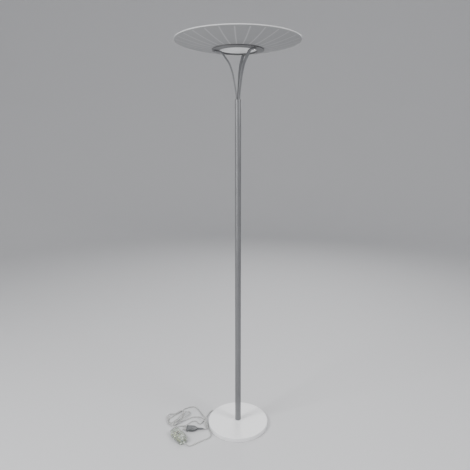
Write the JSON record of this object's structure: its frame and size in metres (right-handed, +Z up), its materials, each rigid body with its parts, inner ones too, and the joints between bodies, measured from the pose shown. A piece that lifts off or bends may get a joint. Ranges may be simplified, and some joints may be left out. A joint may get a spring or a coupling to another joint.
{
  "type": "torchiere floor lamp",
  "caption": "Tall uplighter floor lamp: round weighted base, slim tube pole, bent straps and a wide shallow glass bowl, with a sliding foot dimmer in its cord.",
  "frame": {"origin": "on the floor, under the middle of the round base", "axes": "+Z up the pole, -Y to the front, the cord lies to the -X side"},
  "size_m": [0.636, 0.55, 1.8],
  "materials": {
    "white_lacquer": "satin white lacquer on steel",
    "weight_iron": "rough cast",
    "felt": "pressed felt",
    "zinc_steel": "zinc plated",
    "bright_steel": "bright spring steel",
    "grey_nylon": "moulded nylon",
    "turned_aluminium": "turned",
    "pole_grey": "satin metallic grey",
    "strap_grey": "satin metallic grey",
    "ring_grey": "satin dark grey",
    "wire_sleeve": "silicone sleeve",
    "opal_glass": "opal white, satin",
    "frosted_glass": "grey, finely frosted, with lighter radial lines",
    "clear_glass": "clear, polished",
    "quartz": "clear quartz",
    "gasket_rubber": "silicone rubber",
    "socket_ceramic": "unglazed steatite",
    "contact_brass": "bright",
    "clear_cord": "clear vinyl over two tinned cores",
    "clear_plastic": "clear, polished, thick walls",
    "board_green": "yellow-green circuit board",
    "choke_dark": "wound core",
    "capacitor_cream": "cast block",
    "track_white": "moulded",
    "knob_clear": "translucent",
    "plug_grey": "smoky translucent vinyl",
    "pin_nickel": "nickel plated"
  },
  "bodies": {
    "lamp": {"arm_hub": "turned_aluminium", "arm_left": "strap_grey", "arm_rear": "strap_grey", "arm_right": "strap_grey", "arm_screws": "bright_steel", "base_cover": "white_lacquer", "base_felt": "felt", "base_flex": "clear_cord", "base_weight": "weight_iron", "bulb_bracket": "bright_steel", "bulb_ends": "socket_ceramic", "bulb_tube": "quartz", "clamp_ring": "ring_grey", "clamp_tabs": "bright_steel", "cord_bush": "grey_nylon", "cord_hank": "clear_cord", "cord_lamp_lead": "clear_cord", "cord_main_lead": "clear_cord", "cord_plug_lead": "clear_cord", "cord_saddle": "grey_nylon", "dimmer_board": "board_green", "dimmer_capacitor": "capacitor_cream", "dimmer_choke": "choke_dark", "dimmer_cover": "clear_plastic", "dimmer_gland_in": "clear_plastic", "dimmer_gland_out": "clear_plastic", "dimmer_heatsink": "turned_aluminium", "dimmer_posts": "clear_plastic", "dimmer_tray": "clear_plastic", "fixed_contact": "contact_brass", "foot_collar": "white_lacquer", "foot_nipple": "zinc_steel", "foot_nut": "zinc_steel", "foot_plug": "turned_aluminium", "foot_washer": "zinc_steel", "glass_hooks": "bright_steel", "hub_screws": "zinc_steel", "lamp_ring": "ring_grey", "lens_circlip": "bright_steel", "lens_glass": "opal_glass", "lower_gasket": "gasket_rubber", "lower_pole": "pole_grey", "plug_body": "plug_grey", "plug_pins": "pin_nickel", "plug_tail": "plug_grey", "pole_coupler": "turned_aluminium", "pole_wire": "wire_sleeve", "safety_glass": "clear_glass", "shade_bowl": "frosted_glass", "slider_track": "track_white", "socket_fixed": "socket_ceramic", "socket_sprung": "socket_ceramic", "upper_gasket": "gasket_rubber", "upper_pole": "pole_grey"},
    "knob": {"dimmer_knob": "knob_clear"},
    "contact": {"sprung_contact": "contact_brass"}
  },
  "joints": [
    {"name": "dimmer_slide", "type": "slide", "parent": "lamp", "child": "knob", "axis": [-0.6293, 0.7771, 0], "range_m": [0, 0.026]},
    {"name": "contact_spring", "type": "slide", "parent": "lamp", "child": "contact", "axis": [-1, 0, 0], "range_m": [0, 0.0025], "stiffness_N_per_m": 1000}
  ]
}
